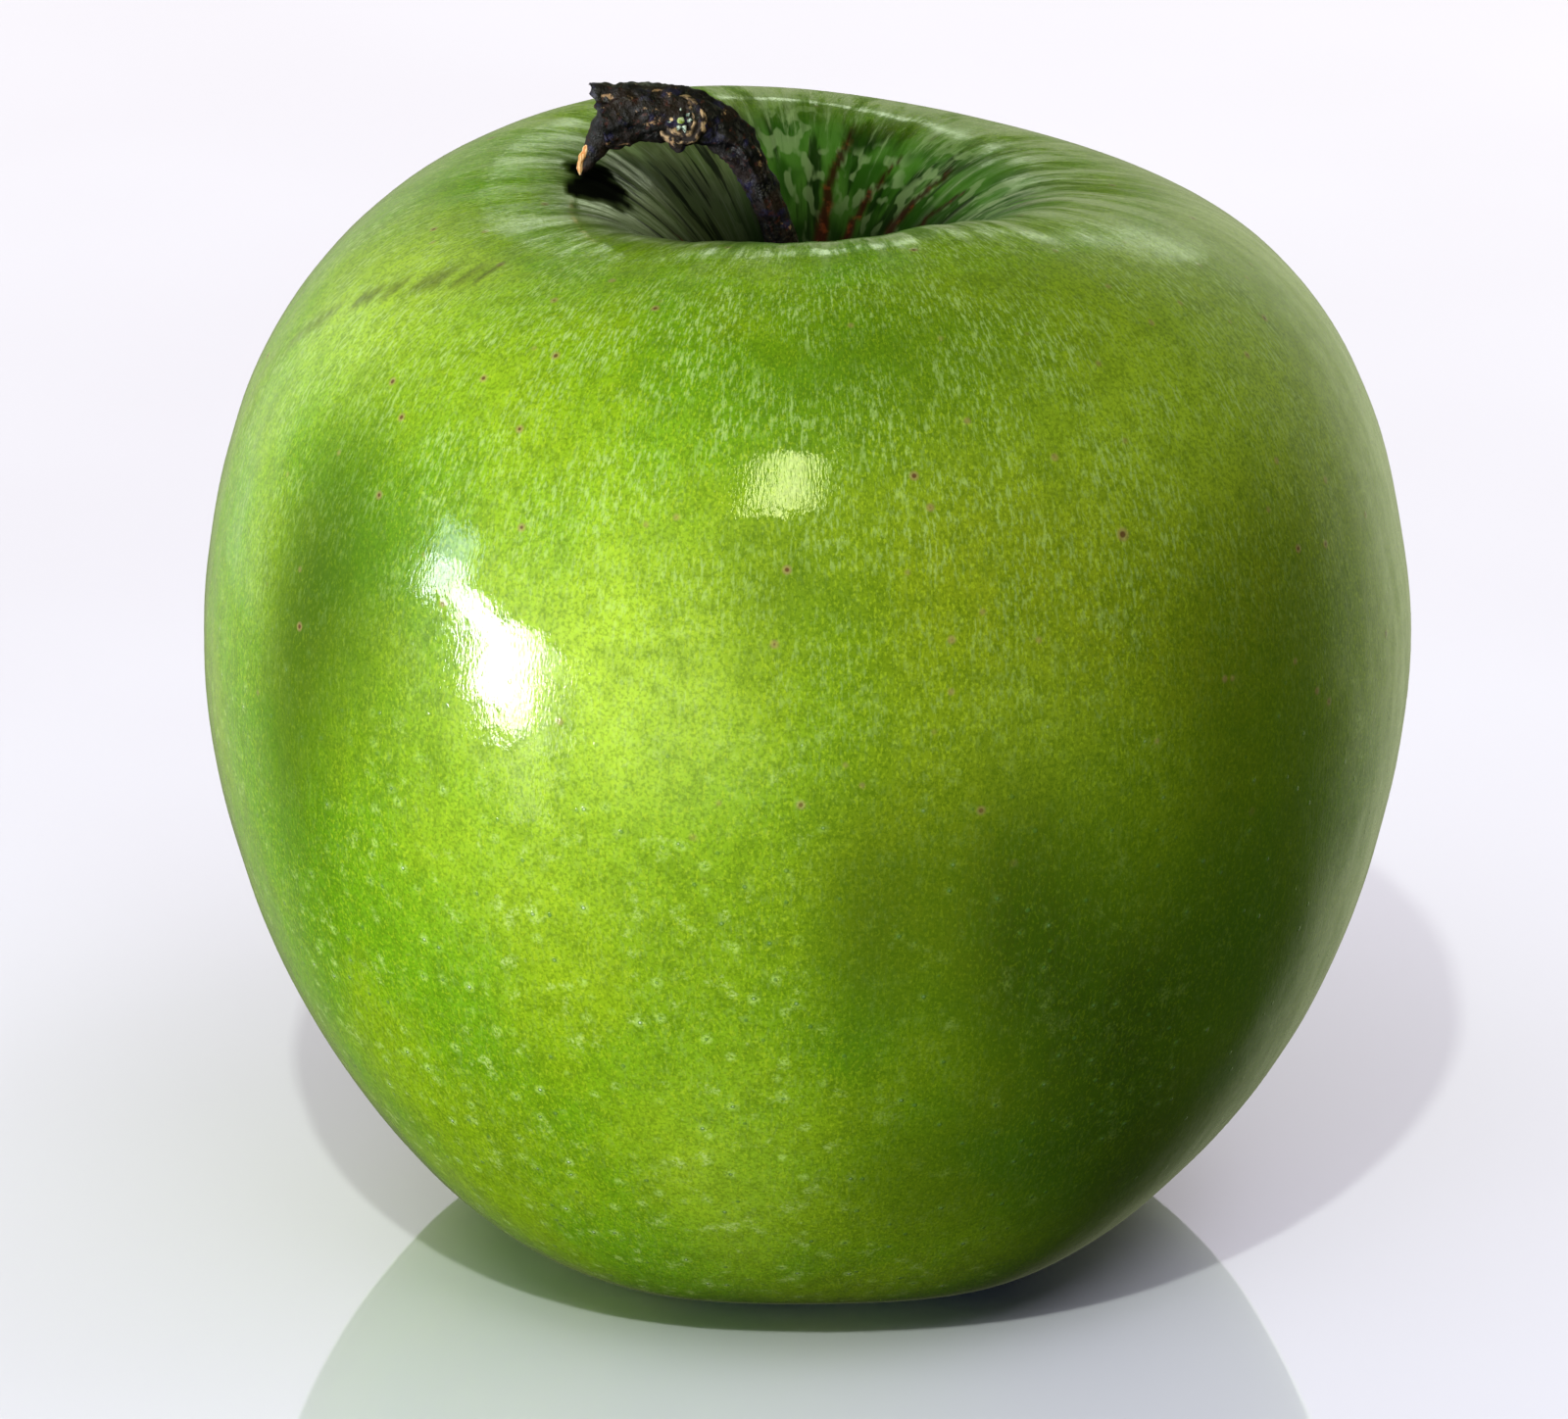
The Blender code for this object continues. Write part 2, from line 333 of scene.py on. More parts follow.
def fruit_outline():
    """Half of the fruit's section as (radius, height), from the stalk's foot round to the calyx."""
    seat = Vector((0.7 * MM, CAVITY_FLOOR - 0.3 * MM))
    crest = Vector((CREST_RADIUS, CREST_HEIGHT))
    cheek = Vector((BELT_RADIUS, BELT_HEIGHT))
    foot = Vector((FOOT_RADIUS, -FLAT_DEPTH))
    eye = Vector((EYE_RADIUS, BASIN_DEPTH))
    cavity, shoulder, side, basin = crest - seat, cheek - crest, cheek - foot, foot - eye
    steep = Vector((0.22 * cavity.x, 0.35 * cavity.y))
    level = Vector((0.44 * cavity.x, 0))
    shoulder_out = Vector((0.78 * shoulder.x, 0))
    shoulder_up = Vector((0, -0.32 * shoulder.y))
    side_down = Vector((0, -0.61 * side.y))
    side_out = Vector((0.35 * side.x, 0))
    basin_in = Vector((-0.34 * basin.x, 0))
    outline = [Vector((0, seat.y)), seat]
    outline += arc(seat, seat + steep, crest - level, crest, 46)
    outline += arc(crest, crest + shoulder_out, cheek + shoulder_up, cheek, 50)
    outline += arc(cheek, cheek + side_down, foot + side_out, foot, 60)
    outline += arc(foot, foot + basin_in, eye - basin_in, eye, 30)
    # The tube above the calyx is a small well, narrower inside than at its mouth.
    for radius, rise in ((3.1, 0.1), (2.5, 0.5), (2.1, 1.3), (1.4, 2.2), (0, 2.5)):
        outline.append(Vector((radius * MM, BASIN_DEPTH + rise * MM)))
    return outline


def shoulder_lift(point):
    """How far growth raises or lowers a point of the upper half."""
    above = smooth(point.z, BELT_HEIGHT, CREST_HEIGHT)
    angle = math.atan2(point.y, point.x)
    spread = (math.hypot(point.x, point.y) / (20 * MM)) ** 2
    waves = 0.4 * math.cos(angle) + 0.9 * math.sin(2 * angle) + 0.5 * math.cos(2 * angle)
    return -above * spread * math.exp(1 - spread) * waves * MM


def lobed(point):
    """The point moved by the five lobes of the lower half."""
    radius = math.hypot(point.x, point.y)
    wave = math.sin(5 * math.atan2(point.y, point.x))
    low = (1 - smooth(point.z, 0, BELT_HEIGHT)) * min(radius / FOOT_RADIUS, 1)
    swell = 1 + low * 0.4 * MM * wave / max(radius, EYE_RADIUS)
    near_foot = math.exp(-(((radius - FOOT_RADIUS) / (5 * MM)) ** 2)) * low
    return Vector((point.x * swell, point.y * swell, point.z + 0.1 * MM * near_foot * (1 - wave)))


def weathered(point, along):
    """Small unevenness of grown skin: soft swellings, folds round the cavity, puckers below."""
    radius = max(math.hypot(point.x, point.y), 0.1 * MM)
    out = Vector((point.x / radius, point.y / radius, 0))
    swelling = noise.noise(point * 70) * 0.25 + noise.noise(point * 210) * 0.06
    moved = point + out * swelling * smooth(radius, 4 * MM, 20 * MM) * MM
    folds = noise.noise(out * 2.2 + Vector((0, 0, along * 25))) * 0.42
    folds += noise.noise(out * 6.5 + Vector((3, 0, along * 45))) * 0.17
    folds += noise.noise(out * 15 + Vector((0, 5, along * 60))) * 0.05
    on_lip = smooth(along, 2 * MM, 9 * MM) * (1 - smooth(along, 17 * MM, 31 * MM))
    moved.z += folds * on_lip * MM
    if point.z < 12 * MM and radius < 14 * MM:
        near_eye = (1 - smooth(radius, 5 * MM, 13 * MM)) * smooth(radius, 1.5 * MM, 3 * MM)
        pucker = noise.noise(out * 3.2) * 0.8 + noise.noise(out * 8 + Vector((0, 0, 4))) * 0.3
        moved.z += near_eye * pucker * MM
    return moved


def patch_strength(patches, azimuth, height):
    """How strongly the patches colour the skin at an azimuth and a height in mm."""
    total = 0
    for middle, level, reach, rise, strength in patches:
        turn = (azimuth - middle + 180) % 360 - 180
        total += strength * math.exp(-((turn / reach) ** 2) - ((height - level) / rise) ** 2)
    return total


def streak_strength(azimuth, radius):
    """How strongly the corky streaks colour the cavity at an azimuth and a radius in mm."""
    strongest = 0
    for outside, inside, far, near, width in RUSSET_STREAKS:
        share = (far - radius) / (far - near)
        if share < -0.1:
            continue
        middle = outside + (inside - outside) * share
        wander = 2.5 * noise.noise(Vector((middle, radius * 0.9, 0)))
        turn = (azimuth - middle - wander + 180) % 360 - 180
        aside = abs(math.radians(turn)) * radius
        edge = width * (0.45 + 0.75 * min(max(share, 0), 1))
        fade = smooth(share, -0.1, 0.12)
        strongest = max(strongest, fade * (1 - smooth(aside, 0.45 * edge, 1.3 * edge)))
    return strongest


def stalk_shadow_strength(place):
    """How strongly the painted shadow of the stalk's end darkens the cavity at a place."""
    strongest = 0
    for x, y, reach in STALK_SHADOW_SPOTS:
        away = math.hypot(place.x / MM - x, place.y / MM - y)
        away *= 1 + 0.5 * noise.noise(place * 900)
        strongest = max(strongest, 1 - smooth(away, 0.62 * reach, 1.2 * reach))
    return strongest


def rub_strength(azimuth, height):
    """How strongly the rubbed line shows at an azimuth and a height in mm."""
    strongest = 0
    for (left, low), (right, high) in zip(RUBBED_LINE, RUBBED_LINE[1:]):
        if left <= azimuth < right:
            share = (azimuth - left) / (right - left)
            aside = abs(height - low - (high - low) * share)
            broken = smooth(noise.noise(Vector((azimuth * 0.35, 0, 0))), -0.35, 0.15)
            strongest = broken * (1 - smooth(aside, 0.25, 1.0))
    return strongest


def make_fruit():
    """The fruit at full detail, standing for the plain CAD one."""
    shape = bmesh.new()
    travelled = shape.verts.layers.float.new("travelled")
    profile = [shape.verts.new((p.x, 0, p.y)) for p in fruit_outline()]
    along = 0
    for before, after in zip(profile, profile[1:]):
        along += (after.co - before.co).length
        after[travelled] = along
        shape.edges.new((before, after))
    spin_closed(shape, FRUIT_SIDES)
    # meridian unrolls the skin for patterns that run from the stalk to the calyx, tints holds the
    # patches, painted shade and painted light among them, and the third list the streaks, the
    # painted shadow of the stalk's end and the rubbed line.
    meridians, tints, scars_and_shadow = [], [], []
    for vertex in shape.verts:
        place = vertex.co
        along = vertex[travelled]
        radius = max(math.hypot(place.x, place.y), 0.001 * MM)
        azimuth = math.degrees(math.atan2(place.x, -place.y))
        height = place.z / MM
        meridians += [place.x / radius * BELT_RADIUS, place.y / radius * BELT_RADIUS, along]
        in_cavity = place.z > CAVITY_FLOOR - 1 * MM and along < 30 * MM
        on_shoulder = place.z > BELT_HEIGHT and along > 20 * MM
        for patches in (DARK_AND_SHADE_PATCHES, OLIVE_PATCHES, YELLOW_AND_LIT_PATCHES):
            tints.append(0 if in_cavity else patch_strength(patches, azimuth, height))
        scars_and_shadow += [
            streak_strength(azimuth, radius / MM) if in_cavity else 0,
            stalk_shadow_strength(place) if in_cavity else 0,
            rub_strength(azimuth, height) if on_shoulder else 0,
        ]
        if place.z <= BELT_HEIGHT:
            grown = lobed(place)
        else:
            grown = place + Vector((0, 0, shoulder_lift(place)))
        vertex.co = weathered(grown, along)
        vertex.co.z = max(vertex.co.z, 0)
    fruit = new_piece("apple_fruit", shape, waxed_skin(), "apple_skin", "fruit")
    for name, values in (("meridian", meridians), ("tints", tints), ("scars_and_shadow", scars_and_shadow)):
        fruit.data.attributes.new(name, "FLOAT_VECTOR", "POINT").data.foreach_set("vector", values)


def waxed_skin():
    """Apple skin: green cells under a thin clear coat of natural wax.

    The eye sees a crisp gloss with a grainy edge over a softer glow, a mottled yellow-green with
    painted shade and painted light in its patches, pale flecks that run along the meridians, small
    corky breathing dots, some with a painted glint, and bloom and dark corky streaks in the stalk
    cavity, whose floor is darkened with painted shade and whose left wall holds the painted shadow
    of the stalk's broken end.
    """
    made, tree, shader = new_material(
        "waxed apple skin", IOR=1.4, Coat_Roughness=0.05, Coat_IOR=1.5
    )
    place = add(tree, "TexCoord").outputs["Object"]
    meridian = add(tree, "Attribute", attribute_name="meridian").outputs["Vector"]
    tints = add(tree, "Attribute", attribute_name="tints").outputs["Vector"]
    scars_and_shadow = add(tree, "Attribute", attribute_name="scars_and_shadow").outputs["Vector"]
    deep_and_shade, olive, yellow = add(tree, "SeparateXYZ", {0: tints}).outputs
    russet, stalk_shadow, rubbed = add(tree, "SeparateXYZ", {0: scars_and_shadow}).outputs
    along = add(tree, "SeparateXYZ", {0: meridian}).outputs["Z"]
    height = add(tree, "SeparateXYZ", {0: place}).outputs["Z"]
    # Long strands over the cavity's lip, in the colour and in the wax.
    strands = patchy(tree, meridian, (3.4, 3.4, 10), 5.0, 0.7)

    skin = mottled(tree, place, meridian, deep_and_shade, olive, yellow)
    skin = flecked(tree, skin, place, meridian, along, deep_and_shade)
    skin, dots = with_young_dots(tree, skin, place, height, deep_and_shade)
    skin, cork = with_old_dots(tree, skin, place, height)
    skin = with_cavity(tree, skin, place, meridian, along, strands)
    rusty = between(tree, patchy(tree, place, 0.8, 3.0), 0.54, 0.7)
    rust = tinted(tree, linear("#2e0f0c"), "#5e2a18", rusty)
    skin = painted(tree, skin, rust, sums(tree, "MULTIPLY", russet, 0.92))
    # The painted shadow of the stalk's broken end, nearly black.
    skin = tinted(tree, skin, "#070807", stalk_shadow, 0.99)
    skin = tinted(tree, skin, "#474a16", rubbed, 0.75)
    tree.links.new(skin, shader.inputs["Base Color"])

    rough = between(tree, patchy(tree, place, 1.2, 4.0), 0.3, 0.7, 0.36, 0.5)
    tree.links.new(rough, shader.inputs["Roughness"])
    # The wax is thinner far down in the cavity, patchy on its lip and faintly striped elsewhere,
    # and missing under the painted shadow of the stalk's end.
    lip = between(tree, along, 33 * MM, 25 * MM)
    patched = between(tree, strands, 0.42, 0.58, 0.1, 1.0)
    striped = patchy(tree, meridian, (1.6, 1.6, 12), 4.0, 0.6)
    wax = sums(
        tree,
        "MULTIPLY",
        add(tree, "Mix", {0: lip, 2: 1.0, 3: patched}).outputs[0],
        between(tree, along, 10 * MM, 20 * MM, 0.2, 1.0),
        between(tree, stalk_shadow, 0.0, 0.6, 1.0, 0.0),
        between(tree, striped, 0.36, 0.62, 0.78, 1.0),
    )
    tree.links.new(wax, shader.inputs["Coat Weight"])
    tree.links.new(sums(tree, "MULTIPLY", wax, 0.18), shader.inputs["Specular IOR Level"])
    # Soft ripples, the grain of the cells, and the dots standing a little proud.
    normal = bumped(tree, patchy(tree, place, 2.4, 2.0), 0.035)
    normal = bumped(tree, patchy(tree, meridian, (0.2, 0.2, 0.45), 2.0), 0.013, normal)
    normal = bumped(tree, sums(tree, "ADD", dots, cork), 0.02, normal)
    tree.links.new(normal, shader.inputs["Normal"])
    tree.links.new(normal, shader.inputs["Coat Normal"])
    return made


def mottled(tree, place, meridian, deep_and_shade, olive, yellow):
    """The ground colour with its patches, which hold painted shade and painted light as well as the
    skin's own colour, faint stripes, and the mottle of the cells.
    """
    broad = between(tree, patchy(tree, place, 13, 4.0), 0.38, 0.62)
    skin = tinted(tree, linear("#6ba10d"), "#88ae10", broad)
    skin = tinted(tree, skin, "#879a14", olive)
    # Yellower skin, and painted light beside the window's highlight and over the upper shoulders.
    skin = tinted(tree, skin, "#b6d838", yellow, 0.8)
    # Darker skin, and painted shade on the front, the lower right and the left front.
    skin = tinted(tree, skin, "#2a420b", deep_and_shade, 0.95)
    stripes = between(tree, patchy(tree, meridian, (2.6, 2.6, 16), 3.0), 0.45, 0.7)
    skin = tinted(tree, skin, "#4d7a0c", stripes, 0.14)
    blotches = between(tree, patchy(tree, place, 1.6, 3.0, 0.6), 0.42, 0.66)
    skin = tinted(tree, skin, "#4a6a08", blotches, 0.3)
    dark_mottle = between(tree, patchy(tree, place, 0.24, 2.0, 0.6), 0.42, 0.64)
    skin = tinted(tree, skin, "#3f6207", dark_mottle, 0.42)
    pale_mottle = between(tree, patchy(tree, meridian, (0.2, 0.2, 0.3), 2.0, 0.6), 0.5, 0.7)
    lively = between(tree, deep_and_shade, 0.6, 0.1, 0.12, 0.4)
    return tinted(tree, skin, "#b8d22a", pale_mottle, lively)


def flecked(tree, skin, place, meridian, along, deep_and_shade):
    """Pale flecks along the meridians, thickest over the shoulders and thin in dark patches."""
    shoulders = between(tree, along, 68 * MM, 30 * MM, 0.16, 1.0)
    flecks = between(tree, patchy(tree, meridian, (0.3, 0.3, 0.75), 3.0, 0.65), 0.48, 0.68)
    clouds = between(tree, patchy(tree, place, 4.5, 3.0), 0.3, 0.62)
    fresh = between(tree, deep_and_shade, 0.1, 0.6, 0.66, 0.28)
    return tinted(tree, skin, "#bfdc8a", flecks, clouds, shoulders, fresh)


def with_young_dots(tree, skin, place, height, deep_and_shade):
    """Breathing dots below the belt: a grey-green pit in a soft pale halo.

    Some have a white point, a painted glint, and here and there is a ragged pale blotch. Gives the
    dots too.
    """
    low_down = between(tree, height, 58 * MM, 34 * MM)
    fuzz = between(tree, patchy(tree, place, 0.22, 2.0, 0.7), 0.36, 0.62)
    blotch = between(tree, patchy(tree, place, 2.0, 4.0, 0.65), 0.575, 0.7)
    shaded = between(tree, deep_and_shade, 0.5, 0.05, 0.15, 1.0)
    skin = tinted(tree, skin, "#bfdb7e", blotch, low_down, fuzz, shaded, 0.7)
    far, chance = scattered(tree, place, 1.5)
    some = between(tree, chance, 0.3, 0.8, 0.1, 1.0)
    halo = between(tree, far, 0.55 * MM, 0.18 * MM)
    skin = tinted(tree, skin, "#b9dc72", halo, low_down, some, fuzz, shaded, 0.7)
    dots = sums(tree, "MULTIPLY", between(tree, far, 0.2 * MM, 0.12 * MM), low_down)
    skin = tinted(tree, skin, "#4f7a33", dots, 0.6)
    # The white points are painted glints.
    points = between(tree, far, 0.1 * MM, 0.05 * MM)
    skin = tinted(tree, skin, "#dcebcb", points, low_down, some, shaded, 0.8)
    return skin, dots


def with_old_dots(tree, skin, place, height):
    """Older dots higher up: pinkish cork with a dark middle, one larger than the rest.

    Gives the cork too.
    """
    high_up = between(tree, height, 36 * MM, 46 * MM)
    far = scattered(tree, place, 3.3)[0]
    eldest = add(tree, "VectorMath", {0: place, 1: OLDEST_DOT}, operation="DISTANCE")
    eldest = sums(tree, "MULTIPLY", eldest.outputs["Value"], 0.7)
    far = sums(tree, "MINIMUM", far, eldest)
    cork = sums(tree, "MULTIPLY", between(tree, far, 0.4 * MM, 0.18 * MM), high_up, 0.5)
    skin = tinted(tree, skin, "#a88564", cork)
    pit = between(tree, far, 0.19 * MM, 0.1 * MM)
    return tinted(tree, skin, "#54281a", pit, high_up, 0.8), cork


def with_cavity(tree, skin, place, meridian, along, strands):
    """The stalk cavity: dark green, partly painted shade, with dark furrows and grey bloom in
    rounded patches.

    Its left wall is finely combed, its floor nearly black with painted shade, and its lip streaked.
    """
    # The cavity's dark green is partly the skin's own colour and partly painted shade.
    cavity = between(tree, along, 26 * MM, 19 * MM)
    fresh = between(tree, patchy(tree, meridian, (8, 8, 4), 2.0), 0.4, 0.6)
    green = tinted(tree, linear("#2a5413"), "#4a7a2a", fresh)
    furrows = between(tree, patchy(tree, meridian, (4.2, 4.2, 8), 3.0), 0.52, 0.64)
    green = tinted(tree, green, "#0f2407", furrows, 0.85)
    bloom = between(tree, patchy(tree, meridian, (3.6, 3.6, 1.9), 1.6, 0.5), 0.5, 0.58)
    bloom_places = between(tree, patchy(tree, meridian, (12, 12, 8), 1.0), 0.4, 0.52)
    green = tinted(tree, green, "#86a26c", bloom, bloom_places, 0.66)
    sideways = add(tree, "SeparateXYZ", {0: place}).outputs["X"]
    left_wall = between(tree, sideways, -2 * MM, -6 * MM)
    green = tinted(tree, green, "#66704e", left_wall, 0.8)
    threads = patchy(tree, meridian, (2.6, 2.6, 8), 4.0, 0.6)
    green = tinted(tree, green, "#0a100f", between(tree, threads, 0.47, 0.38), left_wall, 0.88)
    green = tinted(tree, green, "#8e9c80", between(tree, threads, 0.54, 0.68), left_wall, 0.6)
    skin = painted(tree, skin, green, cavity)
    # The floor of the cavity painted nearly black: painted shade.
    skin = tinted(tree, skin, "#0a1206", between(tree, along, 18 * MM, 10 * MM), 0.9)
    lip = sums(
        tree,
        "MULTIPLY",
        between(tree, along, 15 * MM, 20 * MM),
        between(tree, along, 29 * MM, 23 * MM),
    )
    skin = tinted(tree, skin, "#aecb8c", between(tree, strands, 0.52, 0.64), lip, 0.4)
    return tinted(tree, skin, "#2c5212", between(tree, strands, 0.46, 0.38), lip, 0.4)


# ---------------------------------------------------------------- stalk


def drawn_tube(route, sides):
    """A closed tube drawn along the route, whose fourth value is the tube's radius there.

    Gives the shape, its layers for the turn round the tube and the distance along it, and the face
    that closes its far end. Each point also knows which way is out.
    """
    shape = bmesh.new()
    turn = shape.verts.layers.float.new("turn")
    travelled = shape.verts.layers.float.new("travelled")
    outwards = shape.verts.layers.float_vector.new("outwards")
    bmesh.ops.create_circle(shape, cap_ends=True, segments=sides, radius=1)
    for vertex in shape.verts:
        vertex[turn] = math.atan2(vertex.co.y, vertex.co.x)
    shape.faces.ensure_lookup_table()
    end = shape.faces[0]
    along = 0
    for index, station in enumerate(route):
        before, after = route[max(index - 1, 0)], route[min(index + 1, len(route) - 1)]
        heading = (after - before).xyz.normalized()
        side = Vector((0, -1, 0)).cross(heading).normalized()
        front = heading.cross(side)
        if index:
            along += (station - before).xyz.length
            drawn = bmesh.ops.extrude_face_region(shape, geom=[end])["geom"]
            if index > 1:
                bmesh.ops.delete(shape, geom=[end], context="FACES_ONLY")
            end = next(item for item in drawn if isinstance(item, bmesh.types.BMFace))
        for vertex in end.verts:
            out = math.cos(vertex[turn]) * side + math.sin(vertex[turn]) * front
            vertex.co = station.xyz + station.w * out
            vertex[travelled] = along
            vertex[outwards] = out
    return shape, turn, travelled, outwards, end


def make_stalk():
    """The woody stalk: a furrowed neck, a swollen broken club, and a torn strip of bark."""
    foot = (CAVITY_FLOOR - STALK_SUNK) / MM
    rim = CREST_HEIGHT / MM
    # Each station holds its place and its radius, in mm.
    stations = [
        Vector((-0.05, 0, foot, 1.5)),
        Vector((-0.5, 0, 62.0, 1.05)),
        Vector((-1.5, 0, 67.0, 0.96)),
        Vector((-2.8, 0, rim - 1.0, 1.02)),
        Vector((-4.6, 0, rim + 2.3, 1.25)),
        Vector((-7.4, 0, rim + 4.1, 1.62)),
        Vector((-10.8, 0, rim + 4.4, 1.9)),
        Vector((-13.4, 0, rim + 4.2, 2.02)),
    ]
    route = [Vector([value * MM for value in station]) for station in through(stations, 20)]
    shape, turn, travelled, outwards, end = drawn_tube(route, STALK_SIDES)
    length = end.verts[0][travelled]
    # The broken end: splintered, with its middle sunk in.
    for inset, depth in ((0.35, 0.25), (0.45, 0.3), (0.5, 0.2), (0.4, 0.1)):
        bmesh.ops.inset_region(
            shape, faces=[end], thickness=inset * MM, depth=-depth * MM, use_even_offset=True
        )
    for vertex in shape.verts:
        angle, along = vertex[turn], vertex[travelled] / MM
        ring = Vector((math.cos(angle), math.sin(angle), 0))
        club = smooth(along, 11, 17)
        furrows = noise.noise(ring * 2.2 + Vector((0, 0, along * 0.22)))
        wrinkles = noise.noise(ring * 4.5 + Vector((4, 0, along * 0.55)))
        knobs = noise.noise(ring * 1.5 + Vector((0, 7, along * 0.9)))
        warts = noise.noise(ring * 5 + Vector((9, 0, along * 2.6)))
        swelling = 0.2 * furrows + 0.12 * wrinkles + 0.3 * club * knobs
        swelling += (0.02 + 0.15 * club) * warts
        vertex.co += vertex[outwards] * swelling * MM
        if along > length / MM - 0.01:
            splinter = noise.noise(vertex.co * 700) * 0.4 + noise.noise(vertex.co * 2600) * 0.25
            slant = 0.25 * (vertex.co.z - route[-1].z) / MM
            vertex.co.x -= (splinter + slant) * MM
    bmesh.ops.triangulate(shape, faces=[face for face in shape.faces if len(face.verts) > 4])
    bmesh.ops.recalc_face_normals(shape, faces=shape.faces)
    bark = dead_bark()
    new_piece("apple_stalk", shape, bark, "stalk_bark", "stalk")
    make_torn_strip(bark, rim)
    make_bud(bark, rim)


def make_torn_strip(bark, rim):
    """Bark torn from the club's end and hanging down, with a sliver of pale wood along its edge."""
    strip = [
        Vector((-12.6, 0, rim + 4.6, 0.9)),
        Vector((-13.3, -0.1, rim + 3.0, 0.95)),
        Vector((-14.0, -0.2, rim + 1.7, 0.62)),
        Vector((-14.5, -0.2, rim + 0.7, 0.36)),
        Vector((-14.7, -0.2, rim + 0.2, 0.12)),
    ]
    sliver = [
        Vector((-13.9, -0.45, rim + 2.7, 0.08)),
        Vector((-14.4, -0.5, rim + 2.0, 0.19)),
        Vector((-14.75, -0.5, rim + 1.1, 0.18)),
        Vector((-14.8, -0.45, rim + 0.3, 0.06)),
    ]
    for name, stations, surface in (
        ("torn_bark_strip", strip, bark),
        ("torn_wood_sliver", sliver, torn_wood()),
    ):
        route = [Vector([value * MM for value in station]) for station in through(stations, 9)]
        shape, _, _, outwards, _ = drawn_tube(route, STRIP_SIDES)
        for vertex in shape.verts:
            rough = noise.noise(vertex.co * 1500) * 0.16 + noise.noise(vertex.co * 4000) * 0.06
            vertex.co += vertex[outwards] * rough * MM
        bmesh.ops.recalc_face_normals(shape, faces=shape.faces)
        new_piece(name, shape, surface, "stalk_bark")


def make_bud(bark, rim):
    """A bud scar on the front of the club: two corky rings round a few silvery bud scales."""
    middle = Vector((-8.2 * MM, -1.5 * MM, (rim + 4.3) * MM))
    facing = Vector((-0.12, -1, 0.35)).normalized()
    seat = Matrix.Translation(middle) @ facing.to_track_quat("Z", "Y").to_matrix().to_4x4()
    rings = bmesh.new()
    outline = (
        (0.0, -0.25), (0.5, -0.22), (0.72, 0.02), (0.86, 0.16), (1.0, 0.05), (1.12, -0.1),
        (1.26, 0.03), (1.38, 0.06), (1.5, -0.12), (1.62, -0.5), (0.0, -0.6),
    )
    profile = [rings.verts.new((1.08 * radius * MM, 0, up * MM)) for radius, up in outline]
    for pair in zip(profile, profile[1:]):
        rings.edges.new(pair)
    spin_closed(rings, RING_SIDES)
    for vertex in rings.verts:
        uneven = Vector([noise.noise(vertex.co * 1300 + Vector((i * 9, 0, 0))) for i in range(3)])
        vertex.co += uneven * 0.16 * MM
    bmesh.ops.transform(rings, matrix=seat, verts=rings.verts)
    new_piece("bud_scar_rings", rings, scar_cork(), "stalk_bark")

    scales = bmesh.new()
    for number in range(7):
        leaf = bmesh.ops.create_grid(scales, x_segments=2, y_segments=4, size=0.5)["verts"]
        turned = Matrix.Rotation(math.radians(51 * number + 15 * (number % 2)), 4, "Z")
        reach = (0.62, 0.8, 0.7)[number % 3]
        for vertex in leaf:
            share = vertex.co.y + 0.5
            wide = 0.42 * (1 - share**2) + 0.05
            curl = 0.35 * share**2 - 0.5 * vertex.co.x**2
            vertex.co = turned @ Vector(
                (vertex.co.x * wide * MM, (0.12 + reach * share) * MM, (0.1 + curl) * MM)
            )
    bmesh.ops.solidify(scales, geom=scales.faces[:], thickness=0.05 * MM)
    heart = bmesh.ops.create_icosphere(scales, subdivisions=3, radius=0.3 * MM)["verts"]
    bmesh.ops.translate(scales, vec=(0, 0, 0.08 * MM), verts=heart)
    bmesh.ops.recalc_face_normals(scales, faces=scales.faces)
    bmesh.ops.transform(scales, matrix=seat, verts=scales.verts)
    new_piece("bud_scales", scales, bud_scale_skin(middle), "stalk_bark")

    lump = bmesh.new()
    bmesh.ops.create_icosphere(lump, subdivisions=4, radius=0.55 * MM)
    for vertex in lump.verts:
        vertex.co *= 1 + 0.35 * noise.noise(vertex.co * 2500)
    bmesh.ops.translate(lump, vec=(-8.4 * MM, -1.5 * MM, (rim + 2.75) * MM), verts=lump.verts)
    new_piece("bark_lump", lump, bark, "stalk_bark")


